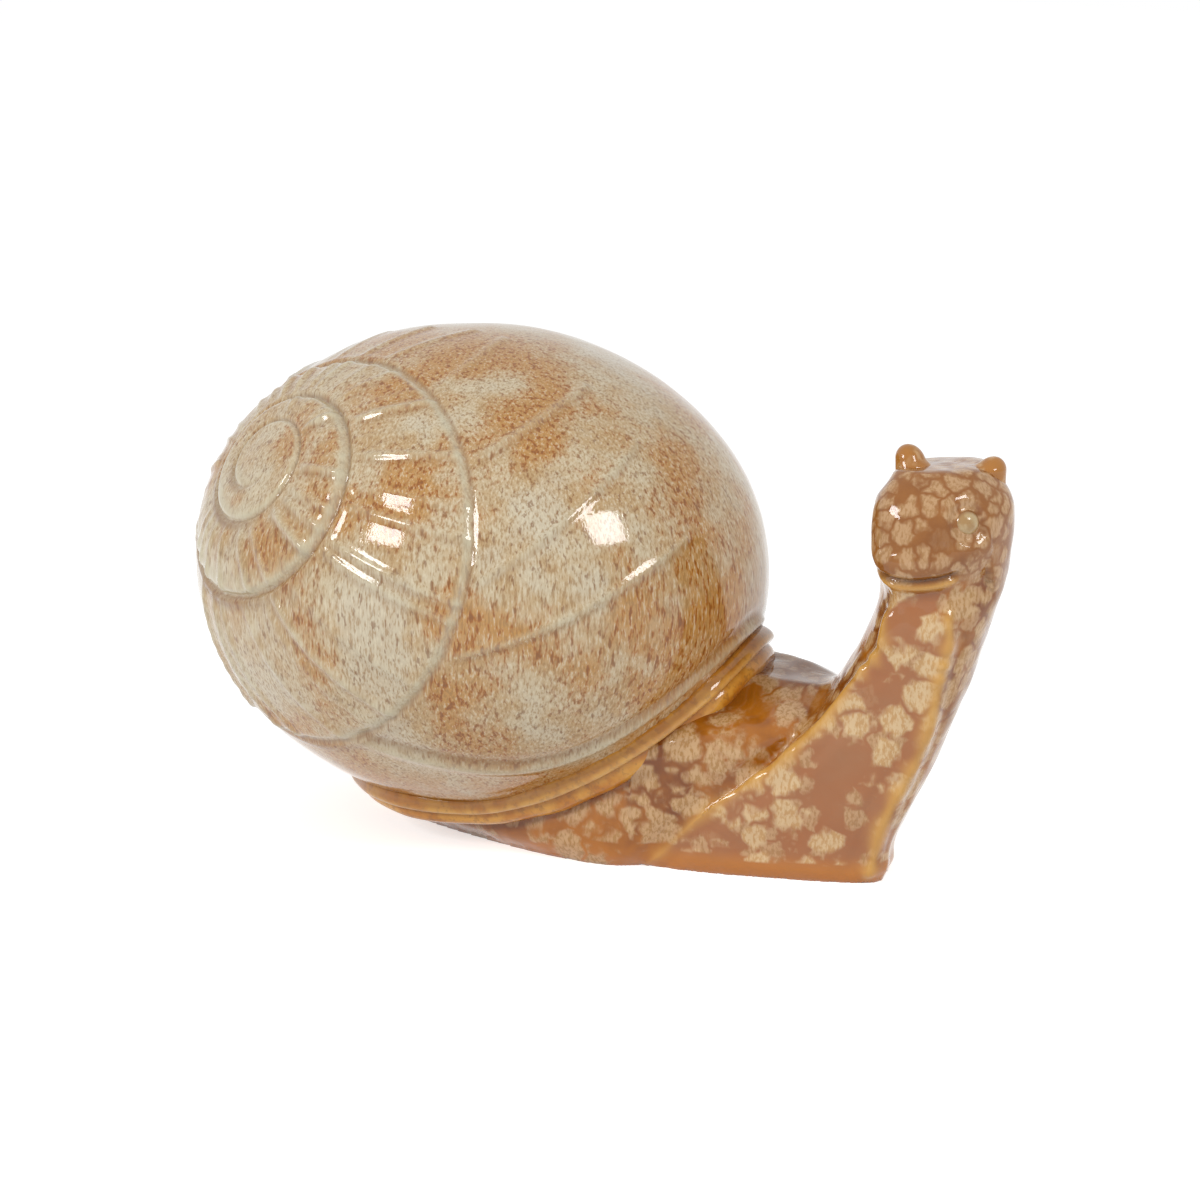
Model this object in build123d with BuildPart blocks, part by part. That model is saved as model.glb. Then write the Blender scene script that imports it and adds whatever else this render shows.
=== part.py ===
from build123d import *
from math import cos, exp, pi, sin, sqrt
import os

os.makedirs("parts", exist_ok=True)

# Garden snail figurine, hand-finished slip-cast stoneware under a reactive glaze.
# X runs towards the head, Z is up, the sole lies on Z = 0 and the origin is
# below the middle of the figurine.

# Body, as a long foot with the neck raised at its front end
foot_length = 168.0
foot_width = 68.0
foot_centre_x = -0.5
foot_centre_y = 19.0
back_height = 49.5
head_top = 106.0
neck_width = 32.0
neck_corner_x = 82.0
neck_corner_y = 16.0
neck_turn = 25.1
body_wall = 5.0
neck_wall = 5.5
foot_room_length = 68.0
foot_room_width = 36.0
foot_room_x = 31.5
foot_room_y = 22.0
vent_diameter = 8.0
vent_x = 33.5
vent_y = 22.0
throat_diameter = 16.0
throat_x = 5.5
throat_y = 12.0

# Shell, as a globe with a suture groove that winds out from the apex
shell_length = 160.0
shell_width = 136.0
shell_height = 125.8
shell_centre_x = -32.7
shell_centre_z = 69.3
shell_wall = 5.0
suture_width = 8.0
suture_depth = 1.5

# Lip: clay coil pressed over the seam, low round the tail and high over the nape
lip_diameter = 7.6
lip_stand = 0.6
lip_low = 11.0
lip_left_rise = 14.0
lip_nape_rise = 35.0
lip_nape_angle = 18.0
lip_nape_spread = 37.0
lip_start_angle = 150.0
lip_gap = 0.6
lip_steps = 32

# Horns and eyes
horn_diameter = 9.4
horn_tip_diameter = 7.0
horn_tip_round = 3.2
horn_height = 11.0
horn_right_sink = 5.5
horn_left_sink = 7.9
eye_diameter = 8.4
eye_height = 95.0

half_length = foot_length / 2
half_width = foot_width / 2


def foot_points(section_shares):
    """Places along one level of the foot, as shares of its half length and width."""
    return [
        (foot_centre_x + x_share * half_length, foot_centre_y + y_share * half_width)
        for x_share, y_share in section_shares
    ]


def neck_points(section_shares, scale_share=1.0):
    """Places along one level of the neck, as shares of its width from the corner ridge."""
    middle_x = sum(x_share for x_share, y_share in section_shares) / len(section_shares)
    middle_y = sum(y_share for x_share, y_share in section_shares) / len(section_shares)
    return [
        (
            neck_width * (middle_x + (x_share - middle_x) * scale_share),
            neck_width * (middle_y + (y_share - middle_y) * scale_share),
        )
        for x_share, y_share in section_shares
    ]


# Levels of the foot and back: height share, then points from the tail round the right side
foot_level_shares = [
    (0.0, [(-1.00, -0.03), (-0.80, -0.65), (-0.52, -0.85), (-0.20, -0.97), (0.10, -1.00),
           (0.30, -0.86), (0.45, -0.20), (0.52, 0.20), (0.50, 0.58), (0.40, 0.92),
           (0.10, 0.90), (-0.20, 0.80), (-0.52, 0.66), (-0.82, 0.42)]),
    (0.15, [(-0.98, -0.03), (-0.80, -0.68), (-0.52, -1.00), (-0.20, -1.16), (0.12, -1.12),
            (0.40, -0.84), (0.55, -0.25), (0.62, 0.15), (0.58, 0.58), (0.40, 0.98),
            (0.10, 0.94), (-0.20, 0.84), (-0.52, 0.70), (-0.82, 0.44)]),
    (0.42, [(-0.72, -0.10), (-0.64, -0.70), (-0.43, -1.00), (-0.15, -1.14), (0.18, -1.08),
            (0.56, -0.70), (0.68, -0.20), (0.74, 0.15), (0.68, 0.62), (0.45, 0.97),
            (0.10, 0.94), (-0.19, 0.82), (-0.46, 0.64), (-0.65, 0.34)]),
    (0.70, [(-0.52, -0.10), (-0.46, -0.66), (-0.30, -0.94), (-0.05, -1.06), (0.30, -0.93),
            (0.66, -0.62), (0.80, -0.16), (0.84, 0.20), (0.74, 0.58), (0.50, 0.88),
            (0.14, 0.94), (-0.12, 0.82), (-0.34, 0.60), (-0.48, 0.28)]),
    (0.89, [(-0.30, -0.03), (-0.24, -0.38), (-0.07, -0.54), (0.20, -0.56), (0.52, -0.36),
            (0.74, -0.22), (0.86, -0.02), (0.88, 0.20), (0.78, 0.50), (0.58, 0.74),
            (0.24, 0.76), (0.00, 0.68), (-0.19, 0.46), (-0.28, 0.22)]),
    (1.0, [(-0.18, 0.14), (-0.13, -0.06), (0.00, -0.20), (0.24, -0.20), (0.54, -0.10),
           (0.70, -0.02), (0.80, 0.08), (0.82, 0.22), (0.74, 0.38), (0.56, 0.50),
           (0.24, 0.52), (0.04, 0.48), (-0.10, 0.36), (-0.17, 0.26)]),
]

# Levels of the chest, neck and head: height share of the head top, then points from
# the left end of the chest along its front, round the corner ridge and back by the nape
neck_level_shares = [
    (0.0, [(-1.85, 0.10), (-1.05, -0.04), (-0.03, 0.00), (0.09, 0.28), (0.00, 0.66),
           (-0.40, 1.06), (-0.90, 1.26), (-1.45, 1.12), (-1.80, 0.62)]),
    (0.131, [(-1.36, -0.06), (-0.60, -0.12), (0.10, -0.07), (0.20, 0.20), (0.15, 0.56),
             (-0.10, 0.92), (-0.55, 1.18), (-1.10, 1.08), (-1.38, 0.55)]),
    (0.300, [(-0.62, -0.15), (-0.12, -0.20), (0.35, -0.15), (0.46, 0.10), (0.44, 0.44),
             (0.24, 0.80), (-0.15, 1.04), (-0.65, 0.92), (-0.78, 0.42)]),
    (0.484, [(-0.12, -0.24), (0.20, -0.29), (0.56, -0.24), (0.70, 0.02), (0.71, 0.32),
             (0.58, 0.66), (0.24, 0.88), (-0.24, 0.80), (-0.38, 0.34)]),
    (0.588, [(0.14, -0.30), (0.38, -0.35), (0.62, -0.30), (0.80, -0.05), (0.84, 0.27),
             (0.74, 0.62), (0.44, 0.84), (0.02, 0.74), (-0.16, 0.30)]),
    (0.700, [(0.20, -0.35), (0.44, -0.40), (0.68, -0.36), (0.90, -0.10), (0.95, 0.22),
             (0.84, 0.56), (0.54, 0.78), (0.16, 0.66), (0.02, 0.25)]),
    (0.780, [(0.14, -0.36), (0.42, -0.47), (0.70, -0.38), (0.96, -0.12), (1.02, 0.20),
             (0.90, 0.52), (0.58, 0.74), (0.18, 0.64), (0.02, 0.20)]),
    (0.880, [(0.10, -0.32), (0.42, -0.46), (0.74, -0.38), (1.00, -0.12), (1.05, 0.18),
             (0.92, 0.50), (0.58, 0.70), (0.18, 0.60), (0.02, 0.18)]),
    (0.955, [(0.12, -0.24), (0.42, -0.36), (0.74, -0.30), (0.98, -0.08), (1.03, 0.18),
             (0.90, 0.48), (0.58, 0.66), (0.20, 0.56), (0.05, 0.18)]),
    (1.0, [(0.20, -0.12), (0.44, -0.20), (0.70, -0.16), (0.88, 0.00), (0.93, 0.18),
           (0.82, 0.42), (0.56, 0.56), (0.26, 0.48), (0.14, 0.18)]),
]

# Points of a level that belong to the front of the chest
front_count = 3

# Places on the head, as shares of the neck width like the levels
horn_right_shares = (0.28, 0.11)
horn_left_shares = (0.88, 0.16)
eye_right_shares = (0.12, -0.17)
eye_left_shares = (0.80, -0.34)

neck_corner = Location((neck_corner_x, neck_corner_y, 0), (0, 0, neck_turn))


def neck_plane(height):
    """Level plane of the neck, whose x runs along the chest to its corner ridge."""
    return Plane(neck_corner).offset(height)


# Shell globe in its own shares: unit directions times the half sizes
shell_half = (shell_length / 2, shell_width / 2, shell_height / 2)
shell_middle = Vector(shell_centre_x, 0, shell_centre_z)
pole_shares = (-0.357, -0.780, 0.513)
suture_start_angle = 12.4
suture_growth = 0.65
suture_lean = 0.06
suture_lean_growth = 0.129
suture_lean_turn = 0.85
suture_first_turn = -0.5
suture_last_turn = 2.2
suture_steps = 27

pole = Vector(*pole_shares).normalized()
pole_up = (Vector(0, 0, 1) - pole * pole.Z).normalized()
pole_side = pole_up.cross(pole)


def suture_angle(turn):
    """Angle of the suture from the apex on the unit globe, as radians."""
    lean = (suture_lean + suture_lean_growth * turn) * cos(2 * pi * turn - suture_lean_turn)
    return suture_start_angle * pi / 180 * exp(suture_growth * turn + lean)


def globe_point(turn, angle, rise=0.0):
    """Place on the globe at an angle from the apex, a rise above its face."""
    around = -2 * pi * turn
    ring = pole_side * cos(around) + pole_up * sin(around)
    unit = pole * cos(angle) + ring * sin(angle)
    face = Vector(*(half * share for half, share in zip(shell_half, unit)))
    normal = Vector(*(share / half for half, share in zip(shell_half, unit)))
    return shell_middle + face + normal.normalized() * rise


suture_radius = (suture_width**2 / 4 + suture_depth**2) / (2 * suture_depth)


def suture_point(share):
    """Centre of the round groove tool at a share of the way along the suture."""
    turn = suture_first_turn + share * (suture_last_turn - suture_first_turn)
    return globe_point(turn, suture_angle(turn), suture_radius - suture_depth)


def lip_point(angle):
    """Place of the lip's middle at an angle about the upright axis, from the head round left."""
    off_nape = (angle + 180 - lip_nape_angle) % 360 - 180
    left_share = (1 + sin(angle * pi / 180)) ** 2 / 4
    z = lip_low + lip_left_rise * left_share
    z += lip_nape_rise * exp(-((off_nape / lip_nape_spread) ** 2))
    half_x, half_y, half_z = (half + lip_stand for half in shell_half)
    level = sqrt(1 - ((z - shell_centre_z) / half_z) ** 2)
    x = shell_centre_x + half_x * level * cos(angle * pi / 180)
    return Vector(x, half_y * level * sin(angle * pi / 180), z)


def globe_solid(stand):
    """Solid globe in a left and a right half, whose half sizes stand out past the shell's face."""
    by = tuple(half + stand for half in shell_half)
    left, right = (
        scale(Sphere(1.0, arc_size3=180, align=None).rotate(Axis.Z, turn), by=by) for turn in (0, 180)
    )
    return (left + right).moved(Location(shell_middle))


shell_globe = globe_solid(0)
shell_room = globe_solid(-shell_wall)
seat_globe = globe_solid(0)
seat_clearance = globe_solid(body_wall)

# Throat hole, which lets air and slip pass between the shell and the body
with BuildPart() as throat:
    with BuildSketch(Plane.XY.offset(2 * body_wall)):
        with Locations((throat_x, throat_y)):
            Circle(throat_diameter / 2)
    extrude(amount=shell_centre_z - 2 * body_wall)

# Lip: one clay coil laid round over the seam, its ends butted low on the far side
lip_turn_angle = 360 - lip_gap / (shell_width / 2) * 180 / pi
lip_angles = [lip_start_angle + lip_turn_angle * step / lip_steps for step in range(lip_steps + 1)]
with BuildPart() as lip_coil:
    with BuildLine() as lip_line:
        Spline(*[lip_point(angle) for angle in lip_angles])
    with BuildSketch(Plane(origin=lip_line.line @ 0, z_dir=lip_line.line % 0)):
        Circle(lip_diameter / 2)
    sweep()
lip_coil.part.label = "lip_coil"
export_step(lip_coil.part, "parts/lip_coil.step")

# Shell casting: hollow globe with its suture groove, resting in the seat of the body
with BuildPart() as suture:
    with BuildLine() as suture_line:
        Spline(*[suture_point(step / suture_steps) for step in range(suture_steps + 1)])
    with BuildSketch(Plane(origin=suture_line.line @ 0, z_dir=suture_line.line % 0)):
        Circle(suture_radius)
    sweep()

with BuildPart() as shell_casting:
    add(shell_globe)
    add(suture.part, mode=Mode.SUBTRACT)
    add(shell_room, mode=Mode.SUBTRACT)
    add(throat.part, mode=Mode.SUBTRACT)
    add(lip_coil.part, mode=Mode.SUBTRACT)
shell_casting.part.label = "shell_casting"
export_step(shell_casting.part, "parts/shell_casting.step")

# Horns: tapered stubs with a rounded tip, pressed into the crown
horns = {}
for side, (x_share, y_share), sink in (
    ("right", horn_right_shares, horn_right_sink),
    ("left", horn_left_shares, horn_left_sink),
):
    with BuildPart() as horn:
        base = neck_plane(head_top - sink)
        with BuildSketch(base):
            with Locations((x_share * neck_width, y_share * neck_width)):
                Circle(horn_diameter / 2)
        with BuildSketch(base.offset(horn_height)):
            with Locations((x_share * neck_width, y_share * neck_width)):
                Circle(horn_tip_diameter / 2)
        loft()
        fillet(horn.faces().sort_by(Axis.Z)[-1].edges(), radius=horn_tip_round)
    horn.part.label = f"horn_{side}"
    horns[side] = horn.part
    export_step(horn.part, f"parts/horn_{side}.step")

# Eyes: clay beads set into the sides of the face
eyes = {}
for side, (x_share, y_share) in (("right", eye_right_shares), ("left", eye_left_shares)):
    with BuildPart() as eye:
        with Locations(neck_plane(eye_height)):
            with Locations((x_share * neck_width, y_share * neck_width, 0)):
                Sphere(eye_diameter / 2)
    eye.part.label = f"eye_{side}"
    eyes[side] = eye.part
    export_step(eye.part, f"parts/eye_{side}.step")

# Foot and back, a stack of rounded levels
with BuildPart() as foot:
    for height_share, section_shares in foot_level_shares:
        with BuildSketch(Plane.XY.offset(height_share * back_height)):
            with BuildLine():
                Spline(*foot_points(section_shares), periodic=True)
            make_face()
    loft()

# Room inside the foot, over a flat floor and clear of the shell
foot_room_half = (foot_room_length / 2, foot_room_width / 2, back_height - 4 * body_wall)
foot_room_middle = Location((foot_room_x, foot_room_y, body_wall))
foot_room_dome = scale(Sphere(1.0), by=foot_room_half).moved(foot_room_middle)
with BuildPart() as foot_room:
    add(foot_room_dome)
    split(bisect_by=Plane.XY.offset(body_wall))
    add(seat_clearance, mode=Mode.SUBTRACT)

# Chest, neck and head, a stack of levels with a corner along each fringe ridge
with BuildPart() as neck:
    for height_share, section_shares in neck_level_shares:
        with BuildSketch(neck_plane(height_share * head_top)):
            with BuildLine():
                level = neck_points(section_shares)
                Spline(*level[:front_count])
                Spline(*level[front_count - 1 :], level[0])
            make_face()
    loft(ruled=True)
    for piece in (*horns.values(), *eyes.values()):
        add(piece, mode=Mode.SUBTRACT)

# Room inside the neck, closed below the crown
neck_room_share = 1 - 2 * neck_wall / neck_width
with BuildPart() as neck_room:
    for height_share, section_shares in neck_level_shares[1:-1]:
        height = neck_wall + height_share * (head_top - 2 * neck_wall)
        with BuildSketch(neck_plane(height)):
            with BuildLine():
                level = neck_points(section_shares, neck_room_share)
                Spline(*level[:front_count])
                Spline(*level[front_count - 1 :], level[0])
            make_face()
    loft(ruled=True)

# Rooms inside the body, with the throat and the vent hole that drains the slip
with BuildPart() as body_rooms:
    add(foot_room.part)
    add(neck_room.part)
    add(throat.part)
    with BuildSketch():
        with Locations((vent_x, vent_y)):
            Circle(vent_diameter / 2)
    extrude(amount=2 * body_wall)

# Body casting: foot, neck and head in one hollow piece, with a cupped seat for the shell
with BuildPart() as body_casting:
    add(foot.part)
    add(seat_globe, mode=Mode.SUBTRACT)
    add(lip_coil.part, mode=Mode.SUBTRACT)
    add(neck.part)
    add(body_rooms.part, mode=Mode.SUBTRACT)
body_casting.part.label = "body_casting"
export_step(body_casting.part, "parts/body_casting.step")
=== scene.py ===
# %% [markdown]
# # A garden snail in reactive glaze
# The figurine is slip-cast stoneware: a body with foot, neck and head, and a hollow shell set
# into a seat on its back. The seam between them is hidden by a rolled clay lip, and a thick
# reactive glaze runs over everything. This lesson makes each piece as a surface worked out with
# numpy, in millimetres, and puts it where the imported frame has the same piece.

# %% Tools and the fixed frame
import math

import bpy
import numpy as np
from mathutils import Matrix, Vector


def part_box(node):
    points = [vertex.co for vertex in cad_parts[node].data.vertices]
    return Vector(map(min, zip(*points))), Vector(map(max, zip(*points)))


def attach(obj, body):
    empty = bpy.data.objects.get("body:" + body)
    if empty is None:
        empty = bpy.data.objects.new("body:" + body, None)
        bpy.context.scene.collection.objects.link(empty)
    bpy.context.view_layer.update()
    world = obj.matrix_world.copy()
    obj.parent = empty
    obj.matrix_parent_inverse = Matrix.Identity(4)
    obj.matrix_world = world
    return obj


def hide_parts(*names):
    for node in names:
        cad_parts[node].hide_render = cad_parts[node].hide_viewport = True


MM = 0.001
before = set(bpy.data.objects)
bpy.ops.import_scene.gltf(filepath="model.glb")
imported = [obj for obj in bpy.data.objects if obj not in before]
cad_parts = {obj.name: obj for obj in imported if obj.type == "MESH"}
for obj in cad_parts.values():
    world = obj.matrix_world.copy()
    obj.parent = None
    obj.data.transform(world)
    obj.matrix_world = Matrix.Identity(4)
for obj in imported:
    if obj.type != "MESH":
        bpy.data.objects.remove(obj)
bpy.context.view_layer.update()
print("nodes of the frame:", sorted(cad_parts))


def node_box(name):
    """Middle and half sizes of a node of the frame, in millimetres."""
    low, high = (np.array(corner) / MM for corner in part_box(name))
    return (low + high) / 2, (high - low) / 2


# %% [markdown]
# ## Bumps and soft steps
# A lump or a groove of hand-worked clay has no sharp edge. It could be sculpted by hand or made
# with a modifier, but a bell curve of a distance says its height, place and width in plain
# numbers. So nearly every detail below is a sum of bells, faded in and out by soft steps.

# %% Bells and soft steps
def unit(vectors):
    """Vectors divided by their length."""
    return vectors / np.linalg.norm(vectors, axis=-1, keepdims=True)


def bell(distance, width):
    """One at distance zero and falling like exp(-x squared) over the width."""
    return np.exp(-((distance / width) ** 2))


def profile(distance, *bumps):
    """Sum of bells along a distance, each given by its height, its place and its width."""
    return sum(height * bell(distance - place, width) for height, place, width in bumps)


def soft_step(value, low, high):
    """Zero below low and one above high, with the cubic 3x^2 - 2x^3 in between."""
    share = np.clip((value - low) / (high - low), 0, 1)
    return share * share * (3 - 2 * share)


def unevenness(points, size, seed):
    """Sum of eight sine waves in random directions, about one size long: hand-made wobble."""
    random = np.random.default_rng(seed)
    waves = unit(random.normal(size=(8, 3))) * 2 * np.pi / size * random.uniform(0.7, 1.4, (8, 1))
    return np.sin(points @ waves.T + random.uniform(0, 2 * np.pi, 8)).sum(axis=1) / 4


print("a bell falls to", round(float(bell(1.0, 1.0)), 3), "one width from its middle")

# %% [markdown]
# ## From a grid to a piece
# Every surface is a grid of points with rows and columns. The columns close into rings, and the
# ends are closed by a fan to one middle point, so no seam or hole is left. The signed volume
# tells whether the faces point outwards: it is the sum of the corner products of all faces, and
# a negative sum means inside out. Recalculating normals would do too, but this needs no tool.

# %% Faces of a ringed grid
def ring_faces(rows, columns, closed=False):
    """Four-sided faces of a grid whose columns close into rings, and in a closed one the rows too."""
    last = rows if closed else rows - 1
    row, column = np.meshgrid(np.arange(last), np.arange(columns), indexing="ij")
    right, below = (column + 1) % columns, (row + 1) % rows
    corners = [row * columns + column, row * columns + right]
    corners += [below * columns + right, below * columns + column]
    return np.stack(corners, axis=-1).reshape(-1, 4).tolist()


def capped_grid(grid):
    """Points and faces of a ringed grid closed by a fan at both ends."""
    rows, columns = grid.shape[:2]
    points = np.concatenate([grid.reshape(-1, 3), grid[:1].mean(axis=1), grid[-1:].mean(axis=1)])
    faces = ring_faces(rows, columns)
    column = np.arange(columns)
    right = (column + 1) % columns
    first, last = rows * columns, rows * columns + 1
    faces += np.stack([right, column, np.full(columns, first)], axis=-1).tolist()
    top = (rows - 1) * columns
    faces += np.stack([top + column, top + right, np.full(columns, last)], axis=-1).tolist()
    return points, faces


def signed_volume(points, faces):
    """Six times the volume inside the faces, negative where they point inwards."""
    corners = np.array([face[:3] for face in faces])
    a, b, c = (points[corners[:, k]] for k in range(3))
    total = (a * np.cross(b, c)).sum()
    quads = np.array([face for face in faces if len(face) == 4])
    if len(quads):
        a, b, c = points[quads[:, 0]], points[quads[:, 2]], points[quads[:, 3]]
        total += (a * np.cross(b, c)).sum()
    return total


# %% Mesh, painted masks and place in the frame
def make_mesh(name, points, faces):
    """Smooth-shaded mesh object in metres at the origin, its faces pointing outwards."""
    if signed_volume(points, faces) < 0:
        faces = [face[::-1] for face in faces]
    mesh = bpy.data.meshes.new(name)
    mesh.from_pydata((points * MM).tolist(), [], faces)
    mesh.polygons.foreach_set("use_smooth", [True] * len(mesh.polygons))
    piece = bpy.data.objects.new(name, mesh)
    bpy.context.scene.collection.objects.link(piece)
    return piece


def paint(piece, **masks):
    """Stores each mask as a point attribute that the glaze reads."""
    for name, values in masks.items():
        attribute = piece.data.attributes.new(name, "FLOAT", "POINT")
        attribute.data.foreach_set("value", np.asarray(values, np.float32))


def hand_over(piece, material, slot, *nodes):
    """Gives a piece its glaze and lets it stand for nodes of the frame. The slot is not used."""
    piece.data.materials.append(material)
    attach(piece, "root")
    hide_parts(*nodes)
    print(piece.name, len(piece.data.polygons), "faces")


# %% [markdown]
# ## Nodes for a glaze
# A glaze is dipped, poured or brushed on and fused in the kiln, so what the eye sees is a stack
# of thin coats under one layer of glass. An image could be painted for that, but patterns worked
# out from Object coordinates have a real size in millimetres and no seams. Three helpers say it
# in a potter's words: spots are a pattern, a cover says where it lies, and coats are laid over
# each other with a strength and a colour.

# %% Colours and nodes
def linear(code):
    """Turns an sRGB hex colour into the linear values that the shader works with."""
    parts = [int(code[k : k + 2], 16) / 255 for k in (1, 3, 5)]
    return [p / 12.92 if p <= 0.04045 else ((p + 0.055) / 1.055) ** 2.4 for p in parts] + [1]


def add_node(tree, kind, inputs=(), output=0, **settings):
    """Adds a node with its settings, fills its inputs with values or links, and gives an output."""
    made = tree.nodes.new("ShaderNode" + kind)
    for name, value in settings.items():
        setattr(made, name, value)
    for name, value in dict(inputs).items():
        if isinstance(value, bpy.types.NodeSocket):
            tree.links.new(value, made.inputs[name])
        else:
            made.inputs[name].default_value = value
    return made.outputs[output]


print("a mid grey #808080 is", round(linear("#808080")[0], 3), "in linear light")


# %% Spots, covers and coats
def spots(tree, place, width, length=None, detail=3.0, roughness=0.55):
    """Noise whose spots have a width and a length in mm, drawn out along Z, the way glaze runs."""
    squeeze = {"Vector": place, "Scale": (1, 1, width / (length or width))}
    run = add_node(tree, "Mapping", squeeze)
    noise = {"Vector": run, "Scale": 1 / (width * MM), "Detail": detail, "Roughness": roughness}
    return add_node(tree, "TexNoise", noise, "Fac")


def cover(tree, strength, *limits):
    """Strength times a soft step for each pattern from its first level to its second. Levels 0
    and 1, either way round, take a painted mask as it is."""
    share = strength
    for pattern, low, high in limits:
        edge = "LINEAR" if {low, high} == {0, 1} else "SMOOTHSTEP"
        levels = {"Value": pattern, "From Min": low, "From Max": high, "To Max": share}
        share = add_node(tree, "MapRange", levels, "Result", interpolation_type=edge)
    return share


def coats(tree, colour, *layers):
    """Lays coats over a colour, each given by its strength, its colour and its limits."""
    for strength, above, *limits in layers:
        share = cover(tree, strength, *limits)
        under, over = (linear(c) if isinstance(c, str) else c for c in (colour, above))
        colour = add_node(tree, "Mix", {0: share, 6: under, 7: over}, 2, data_type="RGBA")
    return colour


# %% Glass layer over the colour
glaze_ior, relief_strength = 1.5, 0.5


def glass_layer(name, masks, colour_of, height_of, depth, roughness):
    """Material of a glossy glaze: its colour and its fine relief, of a depth in mm, come from
    two functions, and the colour also reads the masks that are painted on the piece."""
    material = bpy.data.materials.new(name)
    material.use_nodes = True
    tree = material.node_tree
    place = add_node(tree, "TexCoord", output="Object")
    painted = [add_node(tree, "Attribute", output="Fac", attribute_name=mask) for mask in masks]
    shader = tree.nodes["Principled BSDF"]
    tree.links.new(colour_of(tree, place, *painted), shader.inputs["Base Color"])
    shader.inputs["Roughness"].default_value = roughness
    shader.inputs["IOR"].default_value = glaze_ior
    relief = {"Height": height_of(tree, place), "Distance": depth * MM, "Strength": relief_strength}
    tree.links.new(add_node(tree, "Bump", relief, "Normal"), shader.inputs["Normal"])
    print(name, "has", len(tree.nodes), "nodes")
    return material


# %% [markdown]
# ## The shell's glaze
# The shell was dipped twice, in a milky glaze over an iron one. In the kiln the upper coat slid
# down and tore into short upright streaks, so the iron shows through as rust and caramel. To
# the eye it is greige with a fine hatching. Two noises drawn out along Z give the streaks and
# the hatching, and two round ones give the clouds and the rusty patches. Pools, and the brown
# painted shade in the creases, are painted on the mesh, because they follow the whorls.

# %% The shell's streaked glaze
streak_width, streak_length = 1.1, 4.0
hatch_width, hatch_length = 0.6, 3.0
patch_size, cloud_size = 24.0, 9.0
tone_strength = 0.17


def shell_colour(tree, place, pool, crease, skirt, tone):
    """Greige with caramel clouds, rust streaks, milky pools along the sutures and brown painted shade in
    the creases.
    """
    streak = spots(tree, place, streak_width, streak_length, 2.0, 0.6)
    hatch = spots(tree, place, hatch_width, hatch_length, 2.0, 0.6)
    cloud = spots(tree, place, cloud_size)
    patch = {0: tone, 1: tone_strength, 2: spots(tree, place, patch_size, None, 4.0, 0.6)}
    patch = add_node(tree, "Math", patch, operation="MULTIPLY_ADD")
    return coats(
        tree,
        "#CDBB9A",
        (1.0, "#C1A275", (cloud, 0.35, 0.65)),
        (0.6, "#CFC5AE", (patch, 0.46, 0.3)),
        (0.85, "#BE883F", (patch, 0.45, 0.66)),
        (0.6, "#9C7443", (hatch, 0.5, 0.64)),
        (0.55, "#E0D4B8", (hatch, 0.46, 0.34)),
        (0.9, "#A4601A", (streak, 0.5, 0.62), (patch, 0.4, 0.62)),
        (0.65, "#7E5027", (streak, 0.58, 0.68)),
        (0.6, "#C58A42", (skirt, 0, 1), (cloud, 0.34, 0.6)),
        # Brown painted shade in the creases of the sutures, folds, ridge and collar
        (0.75, "#87603C", (crease, 0, 1)),
        (0.7, "#CFC8AC", (pool, 0, 1)),
    )


def shell_height(tree, place):
    """Faint streaks in the glaze."""
    return spots(tree, place, streak_width, streak_length, 2.0, 0.6)


shell_masks = ("pool", "crease", "skirt", "tone")
shell_glaze = glass_layer(
    "Streaked_reactive_glaze", shell_masks, shell_colour, shell_height, depth=0.07, roughness=0.07
)

# %% [markdown]
# ## The body's glaze
# The body carries an amber glass with a second, stiffer glaze over it that crawled together
# into round beige islands. To the eye they are soft pebbles with amber between them, small and
# crowded on the head and the nape, large and loose on the foot and the chest. A Voronoi pattern
# gives each island its own cell. Its place is bent by noise first, so the islands aren't
# regular, and the distance from the middle and from the edge of the cell rounds them.

# %% Islands of crawled glaze
island_size, small_island_size, speck_size = 8.2, 5.4, 0.8
bend_share, island_randomness, grain_share = 0.6, 0.85, 0.2


def islands(tree, place, size, dropped):
    """Share inside soft round islands, of which a share is dropped."""
    sway = {"Vector": place, "Scale": 2 / (size * MM), "Detail": 1.0}
    sway = add_node(tree, "TexNoise", sway, "Color")
    bend = {0: sway, 1: (size * bend_share * MM,) * 3, 2: place}
    bent = add_node(tree, "VectorMath", bend, operation="MULTIPLY_ADD")
    cell = {"Vector": bent, "Scale": 1 / (size * MM), "Randomness": island_randomness}
    middle = add_node(tree, "TexVoronoi", cell, "Distance", feature="F1")
    gap = add_node(tree, "TexVoronoi", cell, "Distance", feature="DISTANCE_TO_EDGE")
    lot = add_node(tree, "SeparateColor", {0: middle.node.outputs["Color"]})
    kept = add_node(tree, "Math", {0: lot, 1: dropped}, operation="SUBTRACT")
    grain = spots(tree, place, 1.5 * speck_size, None, 2.0)
    reach = add_node(tree, "Math", {0: grain, 1: grain_share, 2: middle}, operation="MULTIPLY_ADD")
    return cover(tree, 1.0, (reach, 0.88, 0.64), (gap, 0.0, 0.2), (kept, 0.0, 0.1))


# %% The body's amber glaze
amber_cloud_size, nape_cloud_size, chest_cloud_size = 14.0, 6.0, 12.0
least_dropped = 0.04
chest_dropped, edge_dropped, small_dropped, small_edge_dropped = 0.24, 0.6, 0.5, 0.5


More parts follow.
